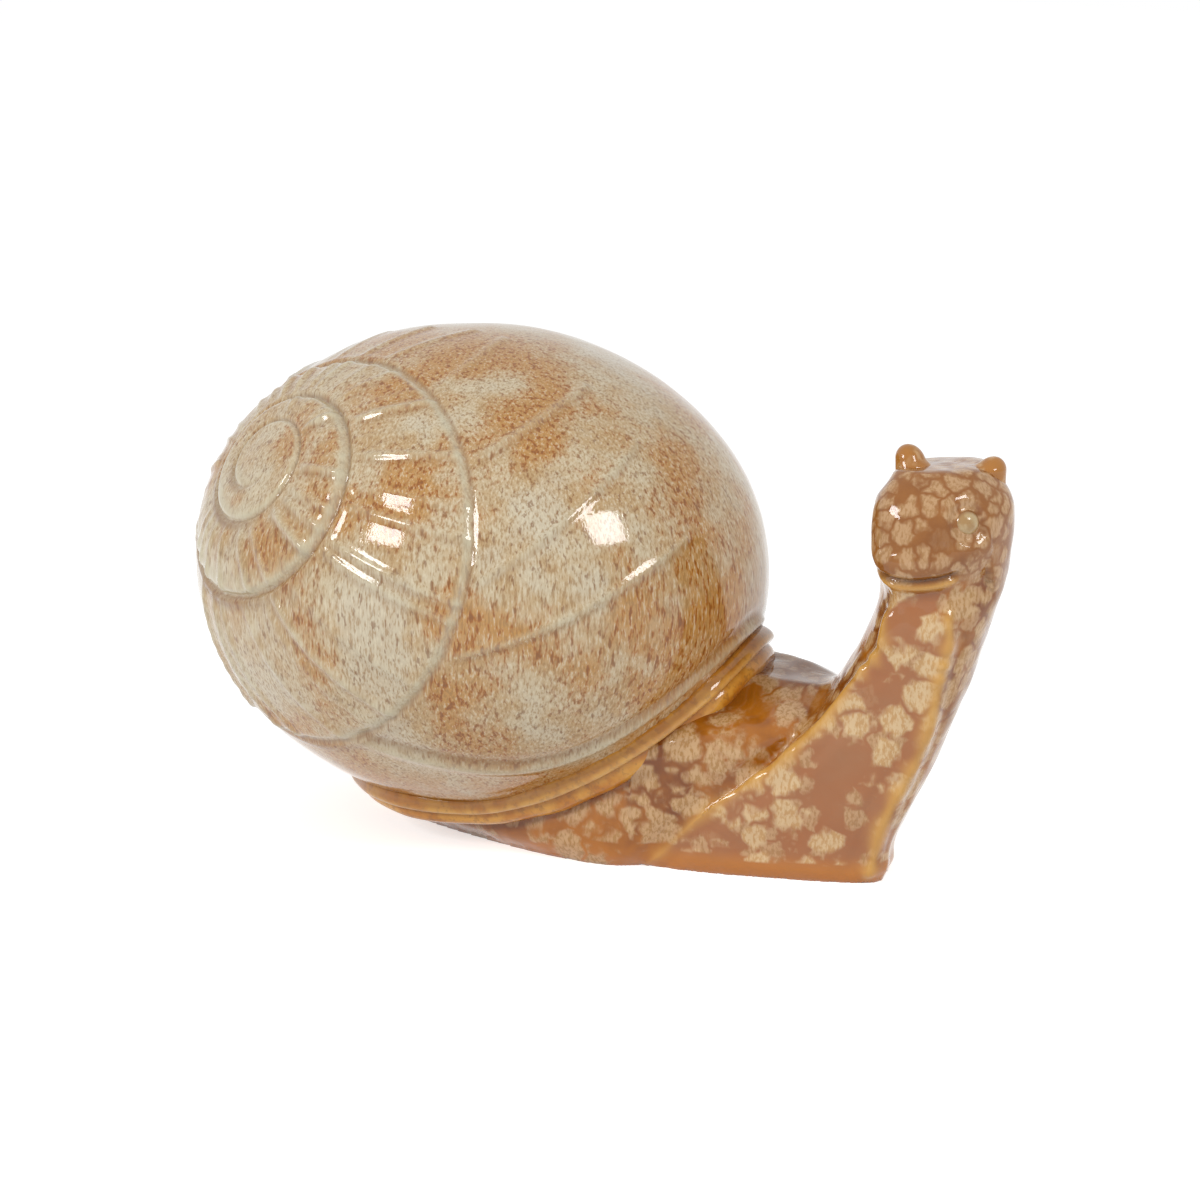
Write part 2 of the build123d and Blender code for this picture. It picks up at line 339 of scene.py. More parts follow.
def amber_glass(tree, place, chest, dense, edge):
    """Amber that clouds between dark and light, ruddy on the chest and golden at the sole."""
    nape = coats(tree, "#7E4410", (1.0, "#AC7030", (spots(tree, place, nape_cloud_size), 0, 1)))
    ruddy = coats(tree, "#AC622A", (1.0, "#A8764F", (spots(tree, place, chest_cloud_size), 0, 1)))
    return coats(
        tree,
        "#80430C",
        (1.0, "#B06A14", (spots(tree, place, amber_cloud_size), 0.35, 0.65)),
        (1.0, nape, (dense, 0, 1)),
        (1.0, ruddy, (chest, 0, 1)),
        (0.85, "#C47A20", (edge, 0, 1)),
    )


def body_colour(tree, place, chest, dense, edge, fringe, groove_shade):
    """Amber glass, broken by beige islands, paler where it is thick, and with brown painted shade in the
    mouth stroke and the seam under the lip.
    """
    speck = (spots(tree, place, speck_size, 2.5 * speck_size, 2.0, 0.6), 0.42, 0.62)
    loose = cover(tree, 1.0, (dense, 1, 0))
    large_lost, small_lost = least_dropped, least_dropped
    for share, strength in ((chest, chest_dropped), (edge, edge_dropped)):
        lost = {0: share, 1: strength, 2: large_lost}
        large_lost = add_node(tree, "Math", lost, operation="MULTIPLY_ADD")
    for share, strength in ((loose, small_dropped), (edge, small_edge_dropped)):
        lost = {0: share, 1: strength, 2: small_lost}
        small_lost = add_node(tree, "Math", lost, operation="MULTIPLY_ADD")
    large = islands(tree, place, island_size, large_lost)
    small = islands(tree, place, small_island_size, small_lost)
    tan = coats(tree, "#D0AA7C", (1.0, "#B3874F", speck))
    cream = coats(tree, "#E0C294", (1.0, "#CCA067", speck))
    beige = coats(tree, "#CCA478", (1.0, "#B28655", speck))
    return coats(
        tree,
        amber_glass(tree, place, chest, dense, edge),
        (0.85, beige, (small, 0, 1)),
        (0.92, coats(tree, tan, (1.0, cream, (chest, 0, 1))), (large, 0, 1), (loose, 0, 1)),
        (0.85, "#DBA550", (fringe, 0, 1)),
        # Brown painted shade in the mouth stroke and the seam under the lip
        (0.85, "#6E421D", (groove_shade, 0, 1)),
    )


def body_height(tree, place):
    """Islands stand up a little from the glass round them."""
    return islands(tree, place, island_size, 0.1)


body_masks = ("chest", "dense", "edge", "fringe", "groove_shade")
body_glaze = glass_layer(
    "Amber_reactive_glaze", body_masks, body_colour, body_height, depth=0.1, roughness=0.06
)

# %% [markdown]
# ## The lip's and the eyes' glazes
# The lip was brushed with a plain caramel glaze. Brown painted shade lies in the furrow between
# the roll and the bead and along the edges where the lip meets the shell and the body, and a pale
# painted highlight runs along the bead. The eyes got a drop of the milky glaze alone. Both look
# smooth and even, so a cloud, a few specks and the painted masks are enough.

# %% The lip's caramel glaze
caramel_cloud_size, caramel_speck_size, finger_lump_size = 7.0, 1.6, 5.0


def lip_colour(tree, place, furrow, crease):
    """Caramel on the roll, with a pale painted highlight along the bead and brown painted shade in the
    furrow and along its edges.
    """
    return coats(
        tree,
        "#E0A341",
        (1.0, "#C67D20", (spots(tree, place, caramel_cloud_size), 0.35, 0.65)),
        (0.5, "#A06A30", (spots(tree, place, caramel_speck_size, None, 2.0), 0.5, 0.66)),
        # Pale painted highlight along the bead
        (0.4, "#DDC287", (furrow, 0, 1)),
        # Brown painted shade in the furrow and along the lip's edges
        (0.55, "#8A561F", (crease, 0, 1)),
    )


def lip_height(tree, place):
    """Small lumps left by the fingers."""
    return spots(tree, place, finger_lump_size, None, 2.0)


lip_glaze = glass_layer(
    "Caramel_reactive_glaze", ("furrow", "crease"), lip_colour, lip_height, depth=0.2, roughness=0.07
)

# %% The eyes' milky glaze
milk_cloud_size = 2.5


def eye_colour(tree, place, rim):
    """Pale milky dome with a brown rim."""
    cloud = spots(tree, place, milk_cloud_size)
    return coats(
        tree, "#AE8856", (1.0, "#C4AA7E", (cloud, 0.35, 0.65)), (1.0, "#8A5A2B", (rim, 0, 1))
    )


eye_glaze = glass_layer(
    "Milky_reactive_glaze", ("rim",), eye_colour, lip_height, depth=0.05, roughness=0.06
)

# %% [markdown]
# ## Shell
# The shell is a globe with three unequal half sizes, cast hollow in a plaster mould. It could be
# a tube wound round a cone, as on a real snail, but here the whorls are only low relief. So the
# whole shell is one surface over the angle from the apex and the turn around it, and each
# detail lifts it. The suture between the whorls is a spiral: its angle from the apex grows like
# an exponential of the turn, and leans a little to one side once a turn.

# %% Polar places on the globe
UP = np.array([0.0, 0.0, 1.0])
shell_middle, shell_half = node_box("shell_casting")
shell_reach = shell_half.mean()
pole = unit(np.array([-0.357, -0.780, 0.513]))
pole_up = unit(UP - pole * pole[2])
pole_side = np.cross(pole_up, pole)
suture_start_angle, suture_growth = 12.4, 0.65
suture_lean, suture_lean_growth, suture_lean_turn = 0.06, 0.129, 0.85


def suture_angle(turn):
    """Start angle times exp(growth x turn), leaned by a cosine of the turn, in radians."""
    lean = (suture_lean + suture_lean_growth * turn) * np.cos(2 * np.pi * turn - suture_lean_turn)
    return math.radians(suture_start_angle) * np.exp(suture_growth * turn + lean)


def globe_place(angle, turn):
    """Point on the globe and its outward normal: unit direction times the half sizes."""
    around = -2 * np.pi * turn[..., None]
    ring = pole_side * np.cos(around) + pole_up * np.sin(around)
    direction = pole * np.cos(angle)[..., None] + ring * np.sin(angle)[..., None]
    return shell_middle + direction * shell_half, unit(direction / shell_half)


print("half sizes of the shell in mm:", shell_half.round(1))

# %% [markdown]
# The lip runs low round the tail and climbs over the nape. Its level is a function of the angle
# about the upright axis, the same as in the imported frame. The shell needs it too, because a
# groove and a ridge run along it on the shell's face.

# %% The lip's level
lip_stand, lip_low, lip_left_rise = 0.6, 11.0, 14.0
lip_nape_rise, lip_nape_angle, lip_nape_spread = 35.0, 18.0, 37.0
steepest_share = 0.9


def lip_level(azimuth):
    """Height of the lip at an angle about the upright axis, from the head round left."""
    off_nape = (azimuth + 180 - lip_nape_angle) % 360 - 180
    left_share = (1 + np.sin(np.radians(azimuth))) ** 2 / 4
    return lip_low + lip_left_rise * left_share + lip_nape_rise * bell(off_nape, lip_nape_spread)


def above_lip(points, normals):
    """Distance from the lip measured up the globe's face, and the angle about the upright axis."""
    local = (points - shell_middle) / shell_half
    azimuth = np.degrees(np.arctan2(local[..., 1], local[..., 0]))
    slope = np.sqrt(1 - np.minimum(normals[..., 2] ** 2, steepest_share))
    return (points[..., 2] - lip_level(azimuth)) / slope, azimuth


print("lip at the tail and over the nape:", lip_level(np.array([180.0, lip_nape_angle])).round(1), "mm")

# %% [markdown]
# The inner whorl ends in a rounded shoulder, then comes a narrow crease, and the next whorl
# starts from it. The glaze pools milky on the shoulder and the crease gets a brown painted
# shade, so the same distances lift the surface and paint the masks.

# %% Sutures
# Height or strength, place and width of each bump, in mm outwards from the suture
suture_relief = (0.6, -2.8, 2.6), (-1.0, 0.0, 0.9), (0.3, 2.2, 1.2)
suture_pool, left_pool = (0.8, -1.2, 1.1), (1.0, -3.6, 3.0)
# Painted shade in the suture's crease, and a wider painted shadow beyond it where the inner whorl
# overhangs on the left
suture_crease, left_crease = (0.8, 0.3, 0.6), (1.0, 2.6, 1.8)
left_turn, left_spread = 0.3, 0.13
# The turns over which the suture starts, ends, grows to its full size and gets shallower
suture_start, suture_end, suture_growing, suture_fading = (-1.0, -0.5), (2.2, 2.4), (-0.2, 1.2), (1.2, 1.7)
apex_size, lost_depth = 0.55, 0.35


def suture_strength(at):
    """One along the suture, and zero before its start and after its last turn."""
    return soft_step(at, *suture_start) * (1 - soft_step(at, *suture_end))


def suture_details(angle, turn, at):
    """Rise, pool and painted crease shade over the distance from the suture, finer towards the apex
    and wider on the left edge of the shell, where the shade is a painted shadow under the
    overhanging whorl."""
    strength = suture_strength(at)
    size = apex_size + (1 - apex_size) * soft_step(at, *suture_growing)
    depth = strength * size * (1 - lost_depth * soft_step(at, *suture_fading))
    off = (angle - suture_angle(at)) * shell_reach / size
    left = bell((turn - left_turn + 0.5) % 1 - 0.5, left_spread)
    pool = profile(off, suture_pool) + left * (at < 2) * profile(off, left_pool)
    crease = profile(off, suture_crease) + left * profile(off, left_crease)
    return depth * profile(off, *suture_relief), strength * pool, strength * crease


print("degrees from the apex at each turn:", np.degrees(suture_angle(np.arange(3.0))).round(1))


# %% [markdown]
# Growth folds run across each whorl from suture to suture, as on a real shell, where each marks
# a pause in growth. Here they were scored into the plaster mould. Most are faint and a few are
# deep, so their heights are random with many low ones, and four clear ones follow the photo.

# %% Whorls and growth folds
whorl_height, whorl_hollow, whorl_end = 1.0, 0.35, (1.15, 1.3)
fold_random = np.random.default_rng(31)
folds = [
    (turn + fold_random.uniform(-0.012, 0.012), 0.0007, fold_random.uniform(0.25, 1.0) ** 1.8)
    for turn in np.arange(-0.3, 1.8, 0.033)
]
folds += [(1.86, 0.0028, 0.4), (1.938, 0.0028, 0.7), (2.028, 0.0037, 0.6), (2.079, 0.003, 0.8)]
# Relief, pale pool on the crest and brown painted shade beside each fold
fold_relief, fold_pool, fold_crease = (1.0, 0.0, 1.1), (0.7, 0.0, 1.1), (0.5, 1.9, 0.9)
# The degrees beyond the suture over which a fold rises and dies away
fold_rising, fold_dying = (0.5, 5), (40, 66)


def fold_details(angle, at):
    """Each whorl bulges like a half sine from suture to suture. A fold lies along one turn, leans
    with the angle beyond the suture, and fades at both ends."""
    start = suture_angle(at)
    across = (angle - start) / (suture_angle(at + 1) - start)
    within = (across > 0) * (across < 1) * suture_strength(at)
    whorl = np.sin(np.pi * np.clip(across, 0, 1)) - whorl_hollow
    rise = whorl_height * within * whorl * (1 - soft_step(at, *whorl_end))
    pool, crease = np.zeros_like(angle), np.zeros_like(angle)
    beyond = np.degrees(angle - start)
    fading = soft_step(beyond, *fold_rising) * (1 - soft_step(beyond, *fold_dying)) * within
    for fold_turn, fold_lean, fold_height in folds:
        away = (at - fold_turn + fold_lean * beyond) * 2 * np.pi * np.sin(angle) * shell_reach
        height = fold_height * fading
        rise += height * profile(away, fold_relief)
        pool += height * profile(away, fold_pool)
        crease += height * profile(away, fold_crease)
    return rise, pool, crease


print("growth folds:", len(folds))

# %% [markdown]
# Where the upper glaze slid off, the shell is rusty, and where it stayed thick it is milky. The
# noise can't know where that happened, so a few soft patches are placed after the photo. A
# scratch script turned the picks into degrees from the apex and turns around it, which are
# rounded here to 5 degrees and a twentieth of a turn. The third number is the spread in
# millimetres.

# %% Places where the glaze broke rusty or stayed milky
rust_places = [
    (70, 0.25, 13), (65, 0.05, 9), (95, 0.0, 14), (110, 0.95, 16), (90, 0.9, 10), (50, 0.8, 15),
    (35, 0.85, 9), (60, 0.9, 9), (10, 0.9, 7), (25, 0.15, 7), (70, 0.1, 7),
]
milk_places = [
    (25, 0.25, 9), (80, 0.0, 8), (50, 0.05, 9), (75, 0.15, 9), (55, 0.25, 14), (55, 0.1, 12),
    (40, 0.9, 7), (65, 0.95, 9), (50, 0.35, 20),
]
print(len(rust_places), "rusty places and", len(milk_places), "milky ones")


def glaze_tone(points):
    """Sum of bells round the rusty places less the sum round the milky ones."""
    tone = np.zeros(points.shape[:-1])
    for sign, places in ((1, rust_places), (-1, milk_places)):
        for angle, turn, spread in places:
            middle, _ = globe_place(np.array(math.radians(angle)), np.array(turn))
            tone += sign * bell(np.linalg.norm(points - middle, axis=-1), spread)
    return np.clip(tone, -1, 1)


# %% [markdown]
# When the lip was pressed on, the tool left a groove and a low collar on the shell above it, and
# a second ridge higher up that drifts away from the lip towards the tail. All of them follow
# the distance above the lip. A faint wobble takes the machined look off the globe.

# %% Details along the lip, and the masks
ridge_distance, ridge_drift, ridge_turn = 11.5, 0.19, 3.0
ridge_relief = (0.9, 0.0, 1.6), (-0.6, 2.6, 1.4)
# Pale pool on the ridge, and painted shade in the hollow above it
ridge_pool, ridge_crease = (0.8, 0.0, 1.1), (0.7, 2.2, 1.0)
collar_relief = (0.5, 8.6, 1.2), (-0.6, 6.6, 0.9)
# Painted shade in the groove under the collar
collar_crease = (0.9, 6.3, 0.9)
# The angles over which the ridge comes and goes, and the skirt's distances above the lip
ridge_coming, ridge_going, skirt_reach = (-92, -72), (12, 40), (5.0, 24.0)
shell_wobbles = (0.2, 38.0, 3), (0.03, 9.0, 4)


def shell_details(angle, turn, points, normals):
    """How far each place stands out, with the masks for the glaze."""
    rise, pool, crease = (np.zeros_like(angle) for _ in range(3))
    for lap in range(-2, 3):
        at = turn + lap
        for details in (suture_details(angle, turn, at), fold_details(angle, at)):
            rise, pool, crease = rise + details[0], pool + details[1], crease + details[2]
    above, azimuth = above_lip(points, normals)
    seen = soft_step(azimuth, *ridge_coming) * (1 - soft_step(azimuth, *ridge_going))
    off = above - ridge_distance + ridge_drift * (azimuth - ridge_turn)
    rise += seen * (profile(off, *ridge_relief) + profile(above, *collar_relief))
    pool += seen * profile(off, ridge_pool)
    crease += seen * profile(off, ridge_crease) + profile(above, collar_crease)
    for height, size, seed in shell_wobbles:
        rise += height * unevenness(points.reshape(-1, 3), size, seed).reshape(rise.shape)
    masks = {"pool": np.clip(pool, 0, 1), "crease": np.clip(crease, 0, 1)}
    masks["skirt"] = 1 - soft_step(above, *skirt_reach)
    masks["tone"] = glaze_tone(points)
    return rise, masks


# %% Make the shell
shell_rows, shell_columns = 246, 400
apex_crowding = 0.45


def make_shell():
    """Surface over the angle from the apex and the turn, with finer rows near the apex."""
    share = np.linspace(0, 1, shell_rows + 1)[1:-1]
    share = (1 - apex_crowding) * share + apex_crowding * share**3
    angle, turn = np.meshgrid(np.pi * share, np.arange(shell_columns) / shell_columns, indexing="ij")
    points, normals = globe_place(angle, turn)
    rise, masks = shell_details(angle, turn, points, normals)
    corners, faces = capped_grid(points + normals * rise[..., None])
    piece = make_mesh("shell", corners, faces)
    ends = {name: [values[0].mean(), values[-1].mean()] for name, values in masks.items()}
    paint(piece, **{name: np.append(values.ravel(), ends[name]) for name, values in masks.items()})
    print("the shell's details stand out from", rise.min().round(1), "to", rise.max().round(1), "mm")
    return piece


shell = make_shell()
hand_over(shell, shell_glaze, "shell_glaze", "shell_casting")

# %% [markdown]
# ## Lip
# A clay coil is pressed over the seam and tooled, so its section is a roll with a small bead
# above it and a furrow between. Blender could bevel a curve with a profile curve, but its
# section would twist on a path that climbs. Here the section is carried along the path and at
# each step is turned to the globe's outward direction and to the direction up its face.

# %% Smooth curve through points
def curve_through(points, count, closed=False):
    """Catmull-Rom curve: between two points it is the cubic whose slope at each point is half
    the step from the point before it to the point after it."""
    points = np.asarray(points, float)
    if closed:
        padded = np.concatenate([points[-1:], points, points[:2]])
        spans = len(points)
    else:
        first, last = 2 * points[:1] - points[1:2], 2 * points[-1:] - points[-2:-1]
        padded = np.concatenate([first, points, last])
        spans = len(points) - 1
    place = np.linspace(0, spans, count, endpoint=not closed)
    start = np.minimum(place.astype(int), spans - 1)
    f = (place - start).reshape((-1,) + (1,) * (points.ndim - 1))
    p0, p1, p2, p3 = (padded[start + step] for step in range(4))
    even = 2 * p1 + (p2 - p0) * f
    return 0.5 * (even + (2 * p0 - 5 * p1 + 4 * p2 - p3) * f**2 + (3 * p1 - p0 - 3 * p2 + p3) * f**3)


# %% Make the lip
# Section: places up the globe's face and outward from it, in mm
lip_section = np.array([
    (-5.2, -1.8), (-5.6, 0.6), (-4.6, 3.0), (-2.6, 4.5), (-0.2, 4.6), (1.4, 3.5),
    (2.4, 1.9), (3.4, 2.7), (4.6, 2.6), (5.6, 1.0), (5.4, -1.6), (0.0, -2.6),
])
lip_steps, lip_section_steps = 420, 44
lip_thin_angle, lip_thinning = 190, 0.42
lip_wobble, lip_wobble_size = 0.06, 16.0
# Painted highlight along the bead, and painted shade in the furrow and at the lip's two edges: strength,
# place up the section and width
lip_furrow = (1.0, 4.0, 1.0)
lip_shade_lines = (1.0, 2.4, 0.6), (1.0, -5.7, 0.7), (1.0, 5.6, 0.5)


def make_lip():
    """Section of (up the face, outward) places swept along the closed path of the lip."""
    azimuth = np.arange(lip_steps) / lip_steps * 360
    level = lip_level(azimuth)
    half = shell_half + lip_stand
    across = np.sqrt(1 - ((level - shell_middle[2]) / half[2]) ** 2)
    ring = np.stack([np.cos(np.radians(azimuth)), np.sin(np.radians(azimuth))], axis=-1)
    path = np.concatenate([shell_middle[:2] + half[:2] * ring * across[:, None], level[:, None]], axis=1)
    outward = unit((path - shell_middle) / half**2)
    along = unit(np.roll(path, -1, axis=0) - np.roll(path, 1, axis=0))
    upward = np.cross(outward, along)
    section = curve_through(lip_section, lip_section_steps, closed=True)
    near_tail = 1 - np.abs((azimuth - lip_thin_angle + 180) % 360 - 180) / 180
    fuller = 1 - lip_thinning * soft_step(near_tail, 0.55, 0.85)
    fuller += lip_wobble * unevenness(path, lip_wobble_size, 7)
    scaled = section[None] * fuller[:, None, None]
    grid = path[:, None] + upward[:, None] * scaled[..., :1] + outward[:, None] * scaled[..., 1:]
    piece = make_mesh("lip", grid.reshape(-1, 3), ring_faces(lip_steps, lip_section_steps, closed=True))
    up_place, out_place = section[:, 0], section[:, 1]
    # Painted highlight on the bead's outer face, and painted shade in the furrow and along both edges
    furrow = np.tile(profile(up_place, lip_furrow) * (out_place > 0), lip_steps)
    crease = np.tile(profile(up_place, *lip_shade_lines), lip_steps)
    paint(piece, furrow=furrow, crease=crease)
    return piece


lip = make_lip()
hand_over(lip, lip_glaze, "lip_glaze", "lip_coil")

# %% [markdown]
# ## Body
# The foot with the back is one stack of rounded levels, and the chest, neck and head are
# another, each level given as shares of the foot's half sizes or of the neck's width. They are
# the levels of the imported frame. A potter would draw such sections before cutting the model for
# the mould, and a stack of them is easier to change than a sculpted mesh.

# %% Levels of the foot
foot_half_length, foot_half_width = 84.0, 34.0
foot_centre_x, foot_centre_y = -0.5, 19.0
back_height = 49.5
foot_level_shares = [
    (0.0, [(-1.00, -0.03), (-0.80, -0.65), (-0.52, -0.85), (-0.20, -0.97), (0.10, -1.00),
           (0.30, -0.86), (0.45, -0.20), (0.52, 0.20), (0.50, 0.58), (0.40, 0.92),
           (0.10, 0.90), (-0.20, 0.80), (-0.52, 0.66), (-0.82, 0.42)]),
    (0.15, [(-0.98, -0.03), (-0.80, -0.68), (-0.52, -1.00), (-0.20, -1.16), (0.12, -1.12),
            (0.40, -0.84), (0.55, -0.25), (0.62, 0.15), (0.58, 0.58), (0.40, 0.98),
            (0.10, 0.94), (-0.20, 0.84), (-0.52, 0.70), (-0.82, 0.44)]),
    (0.42, [(-0.72, -0.10), (-0.64, -0.70), (-0.43, -1.00), (-0.15, -1.14), (0.18, -1.08),
            (0.56, -0.70), (0.68, -0.20), (0.74, 0.15), (0.68, 0.62), (0.45, 0.97),
            (0.10, 0.94), (-0.19, 0.82), (-0.46, 0.64), (-0.65, 0.34)]),
    (0.70, [(-0.52, -0.10), (-0.46, -0.66), (-0.30, -0.94), (-0.05, -1.06), (0.30, -0.93),
            (0.66, -0.62), (0.80, -0.16), (0.84, 0.20), (0.74, 0.58), (0.50, 0.88),
            (0.14, 0.94), (-0.12, 0.82), (-0.34, 0.60), (-0.48, 0.28)]),
    (0.89, [(-0.30, -0.03), (-0.24, -0.38), (-0.07, -0.54), (0.20, -0.56), (0.52, -0.36),
            (0.74, -0.22), (0.86, -0.02), (0.88, 0.20), (0.78, 0.50), (0.58, 0.74),
            (0.24, 0.76), (0.00, 0.68), (-0.19, 0.46), (-0.28, 0.22)]),
    (1.0, [(-0.18, 0.14), (-0.13, -0.06), (0.00, -0.20), (0.24, -0.20), (0.54, -0.10),
           (0.70, -0.02), (0.80, 0.08), (0.82, 0.22), (0.74, 0.38), (0.56, 0.50),
           (0.24, 0.52), (0.04, 0.48), (-0.10, 0.36), (-0.17, 0.26)]),
]


def level_points(level_shares, height, place_of):
    """Array of levels, points and XYZ from the tables of shares."""
    shares = np.array([points for _, points in level_shares])
    levels = np.array([share * height for share, _ in level_shares])
    flat = place_of(shares)
    return np.concatenate([flat, np.broadcast_to(levels[:, None, None], flat.shape[:2] + (1,))], axis=-1)


foot_levels = level_points(
    foot_level_shares,
    back_height,
    lambda s: s * (foot_half_length, foot_half_width) + (foot_centre_x, foot_centre_y),
)
print("levels of the foot:", len(foot_levels))

# %% Levels of the chest, neck and head
head_top, neck_width = 106.0, 32.0
neck_corner = np.array([82.0, 16.0])
neck_turn = math.radians(25.1)
chest_along = np.array([math.cos(neck_turn), math.sin(neck_turn)])
chest_back = np.array([-math.sin(neck_turn), math.cos(neck_turn)])
neck_level_shares = [
    (0.0, [(-1.85, 0.10), (-1.05, -0.04), (-0.03, 0.00), (0.09, 0.28), (0.00, 0.66),
           (-0.40, 1.06), (-0.90, 1.26), (-1.45, 1.12), (-1.80, 0.62)]),
    (0.131, [(-1.36, -0.06), (-0.60, -0.12), (0.10, -0.07), (0.20, 0.20), (0.15, 0.56),
             (-0.10, 0.92), (-0.55, 1.18), (-1.10, 1.08), (-1.38, 0.55)]),
    (0.300, [(-0.62, -0.15), (-0.12, -0.20), (0.35, -0.15), (0.46, 0.10), (0.44, 0.44),
             (0.24, 0.80), (-0.15, 1.04), (-0.65, 0.92), (-0.78, 0.42)]),
    (0.484, [(-0.12, -0.24), (0.20, -0.29), (0.56, -0.24), (0.70, 0.02), (0.71, 0.32),
             (0.58, 0.66), (0.24, 0.88), (-0.24, 0.80), (-0.38, 0.34)]),
    (0.588, [(0.14, -0.30), (0.38, -0.35), (0.62, -0.30), (0.80, -0.05), (0.84, 0.27),
             (0.74, 0.62), (0.44, 0.84), (0.02, 0.74), (-0.16, 0.30)]),
    (0.700, [(0.20, -0.35), (0.44, -0.40), (0.68, -0.36), (0.90, -0.10), (0.95, 0.22),
             (0.84, 0.56), (0.54, 0.78), (0.16, 0.66), (0.02, 0.25)]),
    (0.780, [(0.14, -0.36), (0.42, -0.47), (0.70, -0.38), (0.96, -0.12), (1.02, 0.20),
             (0.90, 0.52), (0.58, 0.74), (0.18, 0.64), (0.02, 0.20)]),
    (0.880, [(0.10, -0.32), (0.42, -0.46), (0.74, -0.38), (1.00, -0.12), (1.05, 0.18),
             (0.92, 0.50), (0.58, 0.70), (0.18, 0.60), (0.02, 0.18)]),
    (0.955, [(0.12, -0.24), (0.42, -0.36), (0.74, -0.30), (0.98, -0.08), (1.03, 0.18),
             (0.90, 0.48), (0.58, 0.66), (0.20, 0.56), (0.05, 0.18)]),
    (1.0, [(0.20, -0.12), (0.44, -0.20), (0.70, -0.16), (0.88, 0.00), (0.93, 0.18),
           (0.82, 0.42), (0.56, 0.56), (0.26, 0.48), (0.14, 0.18)]),
]
neck_levels = level_points(
    neck_level_shares,
    head_top,
    lambda s: neck_corner + neck_width * (s[..., :1] * chest_along + s[..., 1:] * chest_back),
)
print("levels of the neck:", len(neck_levels))

# %% [markdown]
# The two stacks are joined and remeshed into one skin, as wet clay is blended with a thumb. A
# Boolean union would leave a hard line between neck and back. The Remesh modifier makes one
# skin of small even squares, and a Smooth modifier with a vertex group blends it most where the
# neck leaves the back.

# %% Blend the two stacks into one skin
voxel_size, blend_steps, thumb_steps = 0.75, 14, 90
thumb_along, thumb_back, thumb_reach = 8.0, 20.0, 34.0
thumb_level, thumb_height, thumb_grades = 44.0, 22.0, 10


def stack_surface(levels, rows, columns):
    """Rings through the points of each level, then curves through the rings."""
    rings = np.swapaxes(curve_through(np.swapaxes(levels, 0, 1), columns, closed=True), 0, 1)
    return capped_grid(curve_through(rings, rows))


def applied(piece):
    """Puts the result of a piece's modifiers into its mesh and removes them."""
    graph = bpy.context.evaluated_depsgraph_get()
    mesh = bpy.data.meshes.new_from_object(piece.evaluated_get(graph))
    piece.modifiers.clear()
    piece.data = mesh
    return piece


def read_points(mesh):
    """Points and normals of a mesh, in millimetres."""
    points = np.zeros(len(mesh.vertices) * 3)
    normals = np.zeros(len(mesh.vertices) * 3)
    mesh.vertices.foreach_get("co", points)
    mesh.vertex_normals.foreach_get("vector", normals)
    return points.reshape(-1, 3) / MM, normals.reshape(-1, 3)


def blended_skin():
    """Both stacks as one remeshed skin, smoothed most where the neck leaves the back."""
    foot_points, foot_faces = stack_surface(foot_levels, 40, 120)
    neck_points, neck_faces = stack_surface(neck_levels, 80, 96)
    shifted = [[corner + len(foot_points) for corner in face] for face in neck_faces]
    if signed_volume(foot_points, foot_faces) * signed_volume(neck_points, neck_faces) < 0:
        shifted = [face[::-1] for face in shifted]
    skin = make_mesh("body", np.concatenate([foot_points, neck_points]), foot_faces + shifted)
    remesh = skin.modifiers.new("one_skin", "REMESH")
    remesh.mode = "VOXEL"
    remesh.voxel_size = voxel_size * MM
    remesh.use_smooth_shade = True
    applied(skin)
    points, _ = read_points(skin.data)
    junction = neck_corner + thumb_along * chest_along + thumb_back * chest_back
    near = bell(np.linalg.norm(points[:, :2] - junction, axis=1), thumb_reach)
    near *= bell(points[:, 2] - thumb_level, thumb_height)
    group = skin.vertex_groups.new(name="thumb")
    for grade in range(1, thumb_grades + 1):
        chosen = np.nonzero((near * thumb_grades).astype(int) == grade)[0]
        group.add(chosen.tolist(), grade / thumb_grades, "REPLACE")
    for steps, group_name in ((blend_steps, ""), (thumb_steps, "thumb")):
        smooth = skin.modifiers.new("blend", "SMOOTH")
        smooth.factor = 0.5
        smooth.iterations = steps
        smooth.vertex_group = group_name
    print("the blended skin has", len(points), "points")
    return applied(skin)


# %% [markdown]
# ## Work the skin
# The skin is then worked like clay, and each step only says how far a place moves along its
# normal. First come the broad shapes: a belly over the sole, a bevelled crown, a saddle behind
# the neck, a groove where the lip was pressed on, and a soft hem round the sole.

# %% Broad shapes
body_wobbles = (0.25, 22.0, 11), (0.1, 8.0, 12)
belly_rise, crown_bevel, seam_depth, hem_rise = 0.8, 1.4, 0.7, 0.7
saddle_depth, saddle_size = 3.0, 20.0
# Heights over which belly, crown and saddle come in, and the crown's places along the chest
belly_levels, crown_levels, saddle_levels = (8, 20), (96, 104), (36, 46)
belly_end, crown_left, crown_right = -60, (2, 8), (24, 31)
saddle = neck_corner - 16 * chest_along + 14 * chest_back
seam_under_lip, seam_width, seam_off_globe, seam_globe_width = 6.5, 2.0, 3.0, 4.0
hem_level, hem_width, hem_wobble, hem_wobble_size = 3.2, 2.2, 0.3, 12.0
hem_off_globe, hem_front = 1.02, -4


def on_chest(points):
    """Places along the chest's width and backwards from its front, from the corner ridge."""
    flat = points[:, :2] - neck_corner
    return flat @ chest_along, flat @ chest_back


def globe_share(points):
    """Distance from the globe's middle as a share of its half sizes."""
    return np.linalg.norm((points - shell_middle) / shell_half, axis=1)


